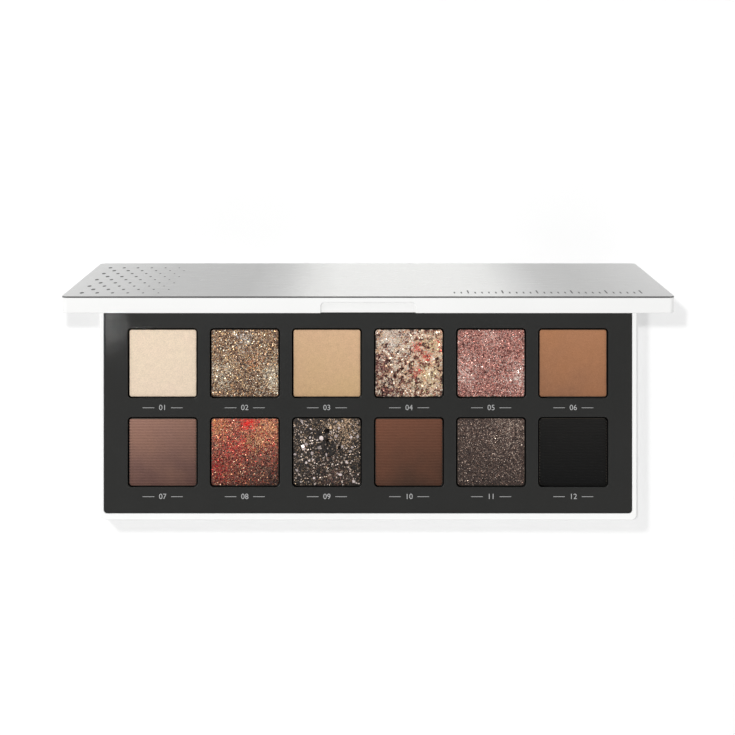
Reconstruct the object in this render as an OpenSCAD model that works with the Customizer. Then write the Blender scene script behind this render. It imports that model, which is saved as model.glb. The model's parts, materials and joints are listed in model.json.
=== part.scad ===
// Eyeshadow palette: a shallow moulded base with a dark deck of twelve square pans,
// and a mirror lid with a thin metal facing, which swings on two short hinge pins.
//
// Frame: the origin is the middle of the base's underside. +X runs along the length,
// -Y points to the opening edge, +Y to the hinge and +Z up. All sizes are millimetres.
// The sizes are set from the inside out: the case grows with the pans that it holds.

/* [Pans] */
// Number of pans along the length
columns = 6; // [2:1:8]
// Number of pans across the depth
rows = 2; // [1:1:3]
// Outer width of one square pan
pan_w = 20.9; // [16:0.1:36]
// Height of one pan
pan_h = 4.8; // [3.5:0.1:8]
// Thickness of a pan's sheet metal
pan_wall = 0.3; // [0.2:0.05:0.6]
// Corner radius of a pan
pan_corner = 1.1; // [0.8:0.1:3]
// Depth of the pressed powder's top below the pan's edge
powder_sink = 0.1; // [0:0.05:1]
// Gap between a pan and its well
pan_gap = 0.4; // [0.1:0.05:1]
// Thickness of the glue under a pan
pan_glue_t = 0.2; // [0.1:0.05:0.5]
// Radius of the glue dot under a pan
pan_glue_r = 6; // [3:0.5:8]

/* [Deck] */
// Strip of deck between two columns of wells
column_strip = 3.7; // [2.5:0.1:12]
// Strip of deck between two rows of wells
row_strip = 5.8; // [2.5:0.1:15]
// Strip of deck at each short side
side_strip = 7.35; // [3:0.05:20]
// Strip of deck along the opening edge
front_strip = 8.1; // [7:0.1:20]
// Strip of deck along the hinge
back_strip = 8.95; // [3:0.05:20]
// Thickness of the deck and of its magnet pockets' roof
deck_t = 1.2; // [0.8:0.1:2]
// Thickness of each well's walls
well_wall = 0.9; // [0.6:0.1:1.2]
// Thickness of each well's floor
well_floor = 0.9; // [0.6:0.1:2]
// Depth of the pans' edges below the deck
pan_sink = 0.8; // [0.2:0.1:2]
// Depth of the deck below the rim
deck_sink = 0.3; // [0.1:0.05:1]
// Corner radius of the deck
deck_corner = 1.1; // [0.5:0.1:3]
// Gap between the deck's edge and the rim
deck_gap = 0.1; // [0.05:0.05:0.3]

/* [Base] */
// Thickness of the base's floor
base_floor = 1.4; // [0.8:0.1:3]
// Width of the rim at each short side
side_rim = 1.3; // [0.8:0.1:4]
// Width of the rim along the opening edge
front_rim = 2; // [1:0.1:5]
// Corner radius of the base and the lid
case_corner = 1.6; // [0.8:0.1:3]

/* [Lid] */
// Gap between the closed lid and the base's rim
closing_gap = 0.1; // [0.05:0.05:0.3]
// Thickness of the metal facing on the lid
facing_t = 0.4; // [0.2:0.1:1]
// Thickness of the lid shell under its facing
roof_t = 1.2; // [0.8:0.1:3]
// Width of the lid shell's wall at each short side
lid_side_wall = 1.6; // [1:0.1:4]
// Width of the lid shell's wall along the opening edge
lid_front_wall = 2.2; // [1.8:0.1:5]
// Depth of the lid's liner below the lid's edge
liner_sink = 0.2; // [0.1:0.05:1]
// Thickness of the liner behind the mirror
liner_floor = 1.1; // [0.6:0.1:3]
// Gap between the liner and the lid shell
liner_gap = 0.05; // [0.02:0.01:0.2]
// Width of the thumb notch in the lid's opening edge
notch_w = 25.6; // [12:0.1:60]
// Height of the thumb notch
notch_h = 2.9; // [1.5:0.1:3.6]
// Depth of the thumb notch into the lid
notch_depth = 1.2; // [0.5:0.1:1.5]
// Corner radius of the thumb notch
notch_corner = 1; // [0.3:0.1:1.4]

/* [Mirror] */
// Thickness of the mirror glass
mirror_t = 1.4; // [1:0.1:3]
// Depth of the mirror's face below the liner
mirror_sink = 0.15; // [0.05:0.05:1]
// Thickness of the tape behind the mirror
tape_t = 0.15; // [0.05:0.05:0.5]
// Width of each strip of tape behind the mirror
tape_w = 18; // [6:1:24]
// Liner left showing beside the mirror at each short side
mirror_side_border = 6; // [3:0.5:30]
// Liner left showing along the opening edge
mirror_front_border = 7.5; // [7:0.1:30]
// Liner left showing along the hinge
mirror_back_border = 5; // [3:0.5:20]
// Corner radius of the mirror
mirror_corner = 2; // [0.5:0.5:6]
// Gap between the mirror and its recess
mirror_gap = 0.15; // [0.05:0.05:0.5]

/* [Magnets] */
// Radius of each closing magnet
magnet_r = 2.5; // [1.5:0.1:2.5]
// Thickness of each magnet in the base
base_magnet_t = 2; // [1:0.1:3]
// Thickness of each magnet in the lid
lid_magnet_t = 1.6; // [0.8:0.1:1.8]
// Distance from the middle of the case to each magnet
magnet_x = 60; // [20:1:62]
// Wall of each magnet's pocket under the deck
magnet_wall = 0.4; // [0.3:0.1:0.8]

/* [Hinge] */
// Radius of the base's round back edge, which the lid rolls over
roll_r = 2.5; // [2:0.1:3.5]
// Wall between the deck's cavity and the hinge pockets
rail_wall = 1.25; // [0.8:0.05:4]
// Width of each lug on the lid
lug_w = 12; // [5:0.5:20]
// Distance from each short side to its lug
lug_inset = 8.5; // [4:0.5:15]
// Gap between a lug and its pocket, all round
lug_gap = 0.15; // [0.1:0.05:0.4]
// Reach of a lug's web behind the pin
web_back = 0.9; // [0.4:0.1:1.2]
// Radius of each hinge pin
pin_r = 0.75; // [0.5:0.05:1.2]
// Running clearance of a pin in its lug, all round
pin_gap = 0.05; // [0.02:0.01:0.1]
// Length of each pin's hold in the base beyond its lug
pin_grip = 4; // [2:0.5:8]
// Depth of each pin's outer end below the side face
pin_recess = 0.3; // [0:0.1:1]
// Angle of the lid at rest, from closed
open_rest = 79.8; // [0:0.1:115]
// Angle at which the open lid meets the back of the base
open_max = 115; // [95:1:130]

/* [Hidden] */
$fn = 64;
// How far a cut runs past the face that it opens
over = 1;
// How far two pieces of one solid run into each other
joined = 0.01;

pan_count = columns * rows;
pan_numbers = [1:pan_count];

// Wells and deck, seen from above
well_w = pan_w + 2 * pan_gap;
well_corner = pan_corner + pan_gap / 2;
column_pitch = well_w + column_strip;
row_pitch = well_w + row_strip;
wells_l = columns * well_w + (columns - 1) * column_strip;
wells_d = rows * well_w + (rows - 1) * row_strip;
cavity_l = wells_l + 2 * side_strip;
cavity_d = wells_d + front_strip + back_strip;

// Case, seen from above
rail_d = rail_wall + 2 * roll_r;
case_l = cavity_l + 2 * side_rim;
case_d = cavity_d + front_rim + rail_d;
front_y = -case_d / 2;
back_y = case_d / 2;
cavity_front = front_y + front_rim;
cavity_back = back_y - rail_d;

// Heights in the base
well_z = base_floor + well_floor;
pan_z = well_z + pan_glue_t;
deck_top = pan_z + pan_h + pan_sink;
deck_z = deck_top - deck_t;
base_h = deck_top + deck_sink;

// Hinge
hinge_y = back_y - roll_r;
hinge_z = base_h - roll_r;
lug_r = roll_r - lug_gap;
lug_x = case_l / 2 - lug_inset - lug_w / 2;
pocket_w = lug_w + 2 * lug_gap;
pin_l = lug_inset - pin_recess + lug_w + lug_gap + pin_grip;
bevel_angle = open_max - 90;
roll_clear = roll_r + closing_gap;
bevel_start = -roll_clear * tan(bevel_angle / 2);

// Heights in the closed lid
lid_z = base_h + closing_gap;
liner_t = liner_floor + tape_t + mirror_t + mirror_sink;
liner_z = lid_z + liner_sink;
roof_z = liner_z + liner_t;
facing_z = roof_z + roof_t;
mirror_z = liner_z + mirror_sink;
tape_z = mirror_z + mirror_t;

// Lid, seen from above
liner_l = case_l - 2 * (lid_side_wall + liner_gap);
lid_cavity_front = front_y + lid_front_wall;
liner_front = lid_cavity_front + liner_gap;
liner_back = cavity_back - liner_gap;
recess_l = liner_l - 2 * mirror_side_border;
recess_front = liner_front + mirror_front_border;
recess_back = liner_back - mirror_back_border;
magnet_y = cavity_front + front_strip / 2;

// Colour of each shade, in the order of the pan numbers
shades = ["#ecd8c0", "#b39874", "#d0ad89", "#b19481", "#b08478", "#a37457",
          "#7e6056", "#a8573f", "#4a413c", "#61443a", "#5f4e4a", "#1f1f1e"];

function two_digits(i) = i < 10 ? str("0", i) : str(i);
function pan_name(i) = str("pan_", two_digits(i));
function powder_name(i) = str("powder_", two_digits(i));

// Pans are numbered left to right, from the row at the hinge to the row at the opening edge.
function pan_x(i) = (((i - 1) % columns) - (columns - 1) / 2) * column_pitch;
function pan_row(i) = floor((i - 1) / columns);
function pan_y(i) = cavity_back - back_strip - well_w / 2 - pan_row(i) * row_pitch;

module rounded_rectangle(l, d, r) {
    square([l - 2 * r, d], center = true);
    square([l, d - 2 * r], center = true);
    for (sx = [-1, 1], sy = [-1, 1])
        translate([sx * (l / 2 - r), sy * (d / 2 - r)]) circle(r);
}

module rounded_block(l, d, h, r) {
    linear_extrude(h) rounded_rectangle(l, d, r);
}

// A rounded block between two Y values, centred on X, standing on height z
module slab(l, y0, y1, z, h, r) {
    translate([0, (y0 + y1) / 2, z]) rounded_block(l, y1 - y0, h, r);
}

module at_pan(i, z) {
    translate([pan_x(i), pan_y(i), z]) children();
}

module at_magnets(z) {
    for (side = [-1, 1]) translate([side * magnet_x, magnet_y, z]) children();
}

// A cylinder along X, centred on the hinge line at x
module hinge_bar(x, w, r) {
    translate([x - w / 2, hinge_y, hinge_z]) rotate([0, 90, 0]) cylinder(r = r, h = w);
}

// A box along the hinge line, given by its reach in Y and Z from that line
module hinge_box(x, w, y0, y1, z0, z1) {
    translate([x - w / 2, hinge_y + y0, hinge_z + z0]) cube([w, y1 - y0, z1 - z0]);
}

// Turns a piece of the closed lid to its rest angle
module opened() {
    translate([0, hinge_y, hinge_z]) rotate([-open_rest, 0, 0])
        translate([0, -hinge_y, -hinge_z]) children();
}

// Room for one lug: round below the pin, and open above it and behind it
module lug_pocket(x) {
    hinge_bar(x, pocket_w, roll_r);
    hinge_box(x, pocket_w, -roll_r, roll_r + over, 0, roll_r + over);
    hinge_box(x, pocket_w, 0, roll_r + over, -roll_r, roll_r);
}

// The hole for one pin, from outside the side face to the pin's inner end
module pin_bore(side) {
    bore_l = pin_l + pin_recess + over;
    hinge_bar(side * (case_l / 2 + over - bore_l / 2), bore_l, pin_r);
}

// The square corner that the base's round back edge takes away
module back_edge_cut() {
    difference() {
        hinge_box(0, case_l + 2 * over, 0, roll_r + over, 0, roll_r + over);
        hinge_bar(0, case_l + 4 * over, roll_r);
    }
}

// The wedge under the lid's back edge, which lets it open past upright
module lid_back_cut() {
    translate([-case_l / 2 - over, hinge_y + bevel_start, lid_z]) rotate([bevel_angle, 0, 0])
        translate([0, 0, -2 * roll_r]) cube([case_l + 2 * over, 4 * roll_r, 2 * roll_r]);
}

// One lug: a round eye on the pin, and a web up to the lid
module lug(x) {
    hinge_bar(x, lug_w, lug_r);
    hinge_box(x, lug_w, -lug_r, web_back, 0, roof_z - hinge_z);
}

// The notch's outline stands in the lid's front face and is open at its lower edge
module thumb_notch() {
    translate([0, front_y + notch_depth, lid_z]) rotate([90, 0, 0])
        linear_extrude(notch_depth + over) {
            translate([-notch_w / 2, -over]) square([notch_w, notch_h - notch_corner + over]);
            translate([-notch_w / 2 + notch_corner, -over])
                square([notch_w - 2 * notch_corner, notch_h + over]);
            for (side = [-1, 1])
                translate([side * (notch_w / 2 - notch_corner), notch_h - notch_corner])
                    circle(notch_corner);
        }
}

module base_shell() {
    color("white") difference() {
        slab(case_l, front_y, back_y, 0, base_h, case_corner);
        slab(cavity_l, cavity_front, cavity_back, base_floor, base_h, deck_corner);
        back_edge_cut();
        for (side = [-1, 1]) {
            lug_pocket(side * lug_x);
            pin_bore(side);
        }
    }
}

module pan_tray() {
    color("#333332") difference() {
        union() {
            slab(cavity_l - 2 * deck_gap, cavity_front + deck_gap, cavity_back - deck_gap,
                 deck_z, deck_t, deck_corner - deck_gap);
            for (i = pan_numbers)
                at_pan(i, base_floor) rounded_block(well_w + 2 * well_wall, well_w + 2 * well_wall,
                                                    deck_z - base_floor + joined,
                                                    well_corner + well_wall);
            at_magnets(deck_z - base_magnet_t)
                cylinder(r = magnet_r + magnet_wall, h = base_magnet_t + joined);
        }
        for (i = pan_numbers)
            at_pan(i, well_z) rounded_block(well_w, well_w, deck_top, well_corner);
        at_magnets(deck_z - base_magnet_t - over)
            cylinder(r = magnet_r, h = base_magnet_t + over);
    }
}

module pan_glue() {
    color("#e8e2c8") for (i = pan_numbers) at_pan(i, well_z) cylinder(r = pan_glue_r, h = pan_glue_t);
}

module pan(i) {
    inner = pan_w - 2 * pan_wall;
    color("#b9b8b5") at_pan(i, pan_z) difference() {
        rounded_block(pan_w, pan_w, pan_h, pan_corner);
        translate([0, 0, pan_wall]) rounded_block(inner, inner, pan_h, pan_corner - pan_wall);
    }
}

module powder(i) {
    inner = pan_w - 2 * pan_wall;
    color(shades[(i - 1) % len(shades)]) at_pan(i, pan_z + pan_wall)
        rounded_block(inner, inner, pan_h - pan_wall - powder_sink, pan_corner - pan_wall);
}

module base_magnets() {
    color("#8c8c90") at_magnets(deck_z - base_magnet_t) cylinder(r = magnet_r, h = base_magnet_t);
}

// side is -1 for the left pin and 1 for the right one
module hinge_pin(side) {
    color("#a5a7aa") hinge_bar(side * (case_l / 2 - pin_recess - pin_l / 2), pin_l, pin_r);
}

module lid_shell() {
    color("white") opened() difference() {
        union() {
            difference() {
                slab(case_l, front_y, back_y, lid_z, facing_z - lid_z, case_corner);
                lid_back_cut();
            }
            for (side = [-1, 1]) lug(side * lug_x);
        }
        slab(case_l - 2 * lid_side_wall, lid_cavity_front, cavity_back,
             lid_z - over, roof_z - lid_z + over, deck_corner);
        thumb_notch();
        for (side = [-1, 1]) hinge_bar(side * lug_x, lug_w + 2 * over, pin_r + pin_gap);
    }
}

module lid_facing() {
    color("#d2d2d0") opened() slab(case_l, front_y, back_y, facing_z, facing_t, case_corner);
}

module lid_liner() {
    color("#333332") opened() difference() {
        slab(liner_l, liner_front, liner_back, liner_z, liner_t, deck_corner - liner_gap);
        slab(recess_l, recess_front, recess_back, liner_z - over,
             over + mirror_sink + mirror_t + tape_t, mirror_corner);
        at_magnets(roof_z - lid_magnet_t) cylinder(r = magnet_r, h = lid_magnet_t + over);
    }
}

module lid_magnets() {
    color("#8c8c90") opened() at_magnets(roof_z - lid_magnet_t)
        cylinder(r = magnet_r, h = lid_magnet_t);
}

// Two strips of tape hold the mirror along its long sides.
module mirror_tape() {
    tape_l = recess_l - 2 * mirror_corner;
    color("#d8d4c8") opened() {
        translate([-tape_l / 2, recess_front + mirror_corner, tape_z]) cube([tape_l, tape_w, tape_t]);
        translate([-tape_l / 2, recess_back - mirror_corner - tape_w, tape_z])
            cube([tape_l, tape_w, tape_t]);
    }
}

module mirror_glass() {
    color("#dfe6ea") opened() slab(recess_l - 2 * mirror_gap, recess_front + mirror_gap,
                                   recess_back - mirror_gap, mirror_z, mirror_t,
                                   mirror_corner - mirror_gap);
}

base_shell();
pan_tray();
pan_glue();
base_magnets();
hinge_pin(-1);  // hinge_pin_left
hinge_pin(1);  // hinge_pin_right
for (i = pan_numbers) pan(i);
for (i = pan_numbers) powder(i);
lid_shell();
lid_facing();
lid_liner();
lid_magnets();
mirror_tape();
mirror_glass();  // mirror
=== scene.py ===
# %% [markdown]
# # An eyeshadow palette, open on a white table
#
# The palette is a slim hinged case. Its base holds a dark deck with twelve square pans of
# pressed powder, and its lid carries a mirror inside and a thin silver facing outside.
# The hinged frame is loaded first, and every visible piece is then made around it, in metres
# and in the frame's own axes: +X along the case, -Y to the opening edge, +Z up.

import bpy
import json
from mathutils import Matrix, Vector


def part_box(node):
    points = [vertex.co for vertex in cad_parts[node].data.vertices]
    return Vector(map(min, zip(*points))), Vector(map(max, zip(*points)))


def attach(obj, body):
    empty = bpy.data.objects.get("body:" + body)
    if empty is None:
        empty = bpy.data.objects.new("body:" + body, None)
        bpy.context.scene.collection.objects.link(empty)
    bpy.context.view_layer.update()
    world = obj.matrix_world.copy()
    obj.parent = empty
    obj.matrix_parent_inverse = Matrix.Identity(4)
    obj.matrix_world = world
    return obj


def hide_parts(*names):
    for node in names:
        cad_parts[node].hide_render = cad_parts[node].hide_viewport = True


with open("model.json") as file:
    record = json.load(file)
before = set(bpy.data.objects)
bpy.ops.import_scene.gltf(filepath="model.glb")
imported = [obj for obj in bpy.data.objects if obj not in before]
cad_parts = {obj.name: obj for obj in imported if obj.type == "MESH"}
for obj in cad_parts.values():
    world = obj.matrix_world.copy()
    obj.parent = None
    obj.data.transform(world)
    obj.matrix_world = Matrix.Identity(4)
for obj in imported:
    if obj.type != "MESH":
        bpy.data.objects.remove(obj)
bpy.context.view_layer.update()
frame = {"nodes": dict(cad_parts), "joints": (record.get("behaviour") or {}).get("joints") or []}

# %% [markdown]
# The rest of the file needs Blender's own modules and a few of Python's. The palette's lengths
# are written in millimetres and turned into Blender's metres by one factor. The table and the
# lamps are so much larger that they are given in metres.

# %% Modules and the unit
import json
import math
import random

import bmesh
import bpy
from mathutils import Matrix, Vector, noise

MM = 0.001

# %% [markdown]
# ## Where things are
#
# The frame says where each solid sits. The lid is easier to make while it lies closed and flat,
# so one matrix is kept that swings a closed piece up to the angle at which the lid rests.

# %% Places from the frame
hinge = frame["joints"][0]
hinge_point = Vector(hinge["pos_m"])
swing = Matrix.Rotation(math.radians(-hinge["range_deg"][0]), 4, Vector(hinge["axis"]))
to_rest = Matrix.Translation(hinge_point) @ swing @ Matrix.Translation(-hinge_point)
to_closed = to_rest.inverted()


def closed_box(name):
    """The corners of one of the lid's solids while the lid is shut."""
    points = [to_closed @ v.co for v in frame["nodes"][name].data.vertices]
    low = Vector([min(p[i] for p in points) for i in range(3)])
    high = Vector([max(p[i] for p in points) for i in range(3)])
    return low, high


base_low, base_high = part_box("base_shell")
deck_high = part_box("pan_tray")[1]
face_low, face_high = closed_box("lid_facing")
print("base", [round(v / MM, 2) for v in base_high - base_low], "mm")

# %% [markdown]
# ## The camera
#
# The palette is seen from straight above its deck. From there the lid, which stands a little
# short of upright, shows its opening edge and a foreshortened strip of its silver outside.

# %% Camera
SENSOR = 36.0
LENS = 88.15
BESIDE_MIDDLE = -0.15 * MM
BEHIND_MIDDLE = 9.855 * MM
OVER_BASE = 556.3 * MM

camera_data = bpy.data.cameras.new("camera")
camera_data.sensor_width = SENSOR
camera_data.lens = LENS
camera = bpy.data.objects.new("camera", camera_data)
camera.location = (BESIDE_MIDDLE, BEHIND_MIDDLE, base_high.z + OVER_BASE)
bpy.context.scene.collection.objects.link(camera)
bpy.context.scene.camera = camera
bpy.context.scene.view_settings.view_transform = "Standard"
print("camera", round(camera.location.z / MM, 1), "mm above the table")

# %% [markdown]
# ## The table
#
# The palette lies on a plain white table. One large square is enough: its far edges are well
# outside the picture, and seen from low down they are only a faint line far behind. It is the
# first mesh, so the helper that turns a bmesh into an object of the scene is defined here.

# %% Table
HALF_TABLE = 1.5


def finished_mesh(name, mesh):
    """Turns a bmesh into an object of the scene and frees it."""
    data = bpy.data.meshes.new(name)
    mesh.to_mesh(data)
    mesh.free()
    piece = bpy.data.objects.new(name, data)
    bpy.context.scene.collection.objects.link(piece)
    return piece


table_mesh = bmesh.new()
bmesh.ops.create_grid(table_mesh, x_segments=1, y_segments=1, size=HALF_TABLE)
table = finished_mesh("table", table_mesh)
print("table", [round(v, 2) for v in table.dimensions], "m")

# %% [markdown]
# ## The studio
#
# A bright, even room keeps the case's white edges clean. It is a world whose brightness depends
# only on the height that a ray goes to. It gets brighter from the horizon up, and the zone right
# overhead is nearly dark, as it is around a real camera, so the dark deck doesn't turn grey.
# Each of its two steps has four numbers: the heights at which it starts and ends, and the
# brightness at both.

# %% Sky
NEAR_HORIZON = (0.0, 0.4, 0.66, 0.88)
OVERHEAD = (0.80, 0.95, 1.0, 0.13)

world = bpy.data.worlds.new("studio")
bpy.context.scene.world = world
world.use_nodes = True
sky = world.node_tree
background = sky.nodes["Background"]
background.inputs["Color"].default_value = (1, 1, 1, 1)
direction = sky.nodes.new("ShaderNodeTexCoord")
split = sky.nodes.new("ShaderNodeSeparateXYZ")
sky.links.new(direction.outputs["Generated"], split.inputs[0])


def sky_step(start, end, low, high):
    """A soft step of brightness between two heights, from 0 at the horizon to 1 overhead."""
    step = sky.nodes.new("ShaderNodeMapRange")
    step.interpolation_type = "SMOOTHSTEP"
    limits = {"From Min": start, "From Max": end, "To Min": low, "To Max": high}
    for socket, number in limits.items():
        step.inputs[socket].default_value = number
    sky.links.new(split.outputs["Z"], step.inputs["Value"])
    return step.outputs["Result"]


product = sky.nodes.new("ShaderNodeMath")
product.operation = "MULTIPLY"
sky.links.new(sky_step(*NEAR_HORIZON), product.inputs[0])
sky.links.new(sky_step(*OVERHEAD), product.inputs[1])
sky.links.new(product.outputs[0], background.inputs["Strength"])
print("sky", NEAR_HORIZON[2], "at the horizon,", round(NEAR_HORIZON[3] * OVERHEAD[3], 2), "overhead")

# %% [markdown]
# Five lamps add direction. The key stands behind on the left and throws the base's narrow
# shadow. The overhead key brightens the powders from above without a glint on the dark deck.
# Two small lamps light only the table, so that each end of the open lid throws a short shadow
# below itself, and a very narrow one lays a soft glint on the deck's far left corner.

# %% Lamps
MIDDLE = (0, 0, 0)
DECK_CORNER = (-0.092, 0.042, 0)


def soft_light(name, place, target, size, power):
    """A square studio lamp at place, turned to target, with sides of size metres."""
    data = bpy.data.lights.new(name, "AREA")
    data.shape = "RECTANGLE"
    data.size = size
    data.size_y = size
    data.energy = power
    lamp = bpy.data.objects.new(name, data)
    lamp.location = place
    aim = Vector(target) - Vector(place)
    lamp.rotation_euler = aim.to_track_quat("-Z", "Y").to_euler()
    bpy.context.scene.collection.objects.link(lamp)
    return lamp


key = soft_light("key", (-0.54, 0.52, 1.0), MIDDLE, 0.16, 5.0)
overhead_key = soft_light("overhead_key", (-0.12, -0.03, 1.10), MIDDLE, 0.05, 2.5)
overhead_key.visible_glossy = False
table_keys = [soft_light("table_key_left", (-0.147, 0.051, 1.10), MIDDLE, 0.02, 3.5),
              soft_light("table_key_right", (0.073, 0.055, 1.10), MIDDLE, 0.02, 4.2)]
corner_glint = soft_light("corner_glint", (-0.160, 0.046, 0.565), DECK_CORNER, 0.03, 0.0024)
corner_glint.data.spread = math.radians(4)
for lamp in (key, overhead_key, *table_keys, corner_glint):
    print(lamp.name, round(lamp.data.energy, 4), "W")

# %% [markdown]
# ## Finishes
#
# Every finish is a Principled shader with its own fine detail: moulded plastic is never
# perfectly even, metal has a grain, and pressed powder is made of tiny crumbs.

# %% Colours and a new finish
def to_linear(value):
    """A paint card's brightness, 0 to 1, as the amount of light it stands for."""
    return value / 12.92 if value <= 0.04045 else ((value + 0.055) / 1.055) ** 2.4


def tone(code):
    """A colour written as on a paint card, such as 'ecd8c0', as the shader wants it."""
    parts = [int(code[i:i + 2], 16) / 255 for i in (0, 2, 4)]
    return (*[to_linear(p) for p in parts], 1.0)


def new_finish(name, base, roughness, metallic=0.0, **extra):
    """A Principled material; a word in extra sets the socket of that name."""
    finish = bpy.data.materials.new(name)
    finish.use_nodes = True
    shader = finish.node_tree.nodes["Principled BSDF"]
    shader.inputs["Base Color"].default_value = base
    shader.inputs["Roughness"].default_value = roughness
    shader.inputs["Metallic"].default_value = metallic
    for socket, value in extra.items():
        shader.inputs[socket.replace("_", " ")].default_value = value
    return finish


# %% [markdown]
# The next helpers add a node to a finish and wire two sockets. Patterns are then a few calls:
# one places the object's coordinates, and another turns them into noise of a known grain size.

# %% Nodes and patterns
def add_node(finish, kind, **settings):
    """A new shader node of one kind, with its settings."""
    node = finish.node_tree.nodes.new("ShaderNode" + kind)
    for setting, value in settings.items():
        setattr(node, setting, value)
    return node


def wire(finish, source, target):
    """Joins two sockets of a finish."""
    finish.node_tree.links.new(source, target)


def shader_of(finish):
    """The Principled shader of a finish."""
    return finish.node_tree.nodes["Principled BSDF"]


def place_on(finish, centre=(0, 0, 0), scale=(1, 1, 1)):
    """Object coordinates, counted from centre and then stretched."""
    coordinates = add_node(finish, "TexCoord")
    shift = add_node(finish, "Mapping")
    shift.inputs["Location"].default_value = [-c * s for c, s in zip(centre, scale)]
    shift.inputs["Scale"].default_value = scale
    wire(finish, coordinates.outputs["Object"], shift.inputs["Vector"])
    return shift.outputs["Vector"]


def noise_on(finish, vector, grain, detail=2.0, roughness=0.5):
    """Noise whose blotches are about grain metres wide."""
    pattern = add_node(finish, "TexNoise")
    pattern.inputs["Scale"].default_value = 1 / grain
    pattern.inputs["Detail"].default_value = detail
    pattern.inputs["Roughness"].default_value = roughness
    wire(finish, vector, pattern.inputs["Vector"])
    return pattern.outputs["Fac"]


# %% [markdown]
# Noise alone does nothing. It is stretched to a range for the roughness, sent through a ramp
# for the colour, mixed with other colours, or used as a height for the relief.

# %% From a pattern to a value, a colour or a relief
def spread(finish, value, low, high, start=0.0, end=1.0):
    """Stretches value, which runs from start to end, to the range low to high."""
    stretch = add_node(finish, "MapRange")
    limits = {"From Min": start, "From Max": end, "To Min": low, "To Max": high}
    for socket, number in limits.items():
        stretch.inputs[socket].default_value = number
    wire(finish, value, stretch.inputs["Value"])
    return stretch.outputs["Result"]


def ramp(finish, value, stops):
    """A colour ramp through (position, colour) stops."""
    band = add_node(finish, "ValToRGB")
    elements = band.color_ramp.elements
    elements[0].position, elements[0].color = stops[0]
    elements[-1].position, elements[-1].color = stops[-1]
    for position, colour in stops[1:-1]:
        elements.new(position).color = colour
    wire(finish, value, band.inputs["Fac"])
    return band.outputs["Color"]


def blend_colours(finish, factor, first, second, how="MIX"):
    """Mixes two colours; each is a socket or a fixed colour."""
    mix = add_node(finish, "Mix", data_type="RGBA", blend_type=how, clamp_factor=True)
    ends = ((mix.inputs["Factor"], factor), (mix.inputs[6], first), (mix.inputs[7], second))
    for socket, value in ends:
        if isinstance(value, bpy.types.NodeSocket):
            wire(finish, value, socket)
        else:
            socket.default_value = value
    return mix.outputs[2]


def bump(finish, height, depth):
    """Gives the shader a relief of depth metres."""
    relief = add_node(finish, "Bump")
    relief.inputs["Distance"].default_value = depth
    relief.inputs["Strength"].default_value = 1.0
    wire(finish, height, relief.inputs["Height"])
    wire(finish, relief.outputs["Normal"], shader_of(finish).inputs["Normal"])


# %% [markdown]
# The white case is glossy injection-moulded plastic. Its roughness wanders a little, and a very
# shallow, slow waviness stands for the sink that every moulding has. The lid is the same plastic, made
# a slightly greyer white than the base as painted shade.

# %% White plastic
def white_plastic(name, colour):
    """Glossy moulded plastic of one colour."""
    finish = new_finish(name, tone(colour), 0.12, Specular_IOR_Level=0.5)
    where = place_on(finish)
    shader = shader_of(finish)
    gloss = spread(finish, noise_on(finish, where, 9 * MM), 0.08, 0.17)
    wire(finish, gloss, shader.inputs["Roughness"])
    shade = [0.97 * c for c in tone(colour)[:3]] + [1.0]
    tint = ramp(finish, noise_on(finish, where, 25 * MM), [(0.3, shade), (0.7, tone(colour))])
    wire(finish, tint, shader.inputs["Base Color"])
    bump(finish, noise_on(finish, where, 12 * MM, detail=0), 0.02 * MM)
    return finish


case_finish = white_plastic("white case plastic", "f7f7f6")
# Painted shade: the lid's copy of the white plastic is greyer than the base's.
lid_plastic_with_painted_shade = white_plastic("white lid plastic", "ebebea")
print("made:", case_finish.name, "and", lid_plastic_with_painted_shade.name)

# %% [markdown]
# The deck and the mirror's frame are dark satin plastic with a fine spark-eroded grain, which
# is a bump of a few thousandths of a millimetre. The table is matte, so it has almost no gloss.

# %% Dark plastic and the table's top
def dark_plastic():
    """Satin plastic with a fine grain."""
    finish = new_finish("dark satin plastic", tone("2a2a29"), 0.32, Specular_IOR_Level=0.3)
    where = place_on(finish)
    shader = shader_of(finish)
    grain = noise_on(finish, where, 0.12 * MM, detail=3)
    wire(finish, ramp(finish, grain, [(0.2, tone("282827")), (0.8, tone("2f2f2e"))]),
         shader.inputs["Base Color"])
    gloss = spread(finish, noise_on(finish, where, 6 * MM), 0.28, 0.36)
    wire(finish, gloss, shader.inputs["Roughness"])
    bump(finish, grain, 0.006 * MM)
    return finish


def table_top():
    """Matte white with very slow clouds."""
    finish = new_finish("table", tone("d6d6d6"), 0.8, Specular_IOR_Level=0.1)
    where = place_on(finish)
    clouds = noise_on(finish, where, 0.3)
    tint = ramp(finish, clouds, [(0.3, tone("d5d5d5")), (0.7, tone("d7d7d7"))])
    wire(finish, tint, shader_of(finish).inputs["Base Color"])
    return finish


table.data.materials.append(table_top())
deck_finish = dark_plastic()
print("made:", deck_finish.name)

# %% [markdown]
# Metal comes in several kinds here: the tinplate of the pans, the steel of the pins, the nickel
# of the magnets, and the satin film on the lid with its darker cut edge. They share one recipe,
# in which streaks of noise move the roughness, and only colour, gloss and grain differ.

# %% Plain metals
def metal(name, colour, roughness, grain, stretch=(1, 1, 1)):
    """A metal whose streaks are grain metres wide and stretched along an axis."""
    finish = new_finish(name, tone(colour), roughness, metallic=1.0)
    where = place_on(finish, scale=stretch)
    streaks = noise_on(finish, where, grain, detail=4)
    wire(finish, spread(finish, streaks, roughness - 0.08, roughness + 0.08),
         shader_of(finish).inputs["Roughness"])
    bump(finish, streaks, 0.002 * MM)
    return finish


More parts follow.
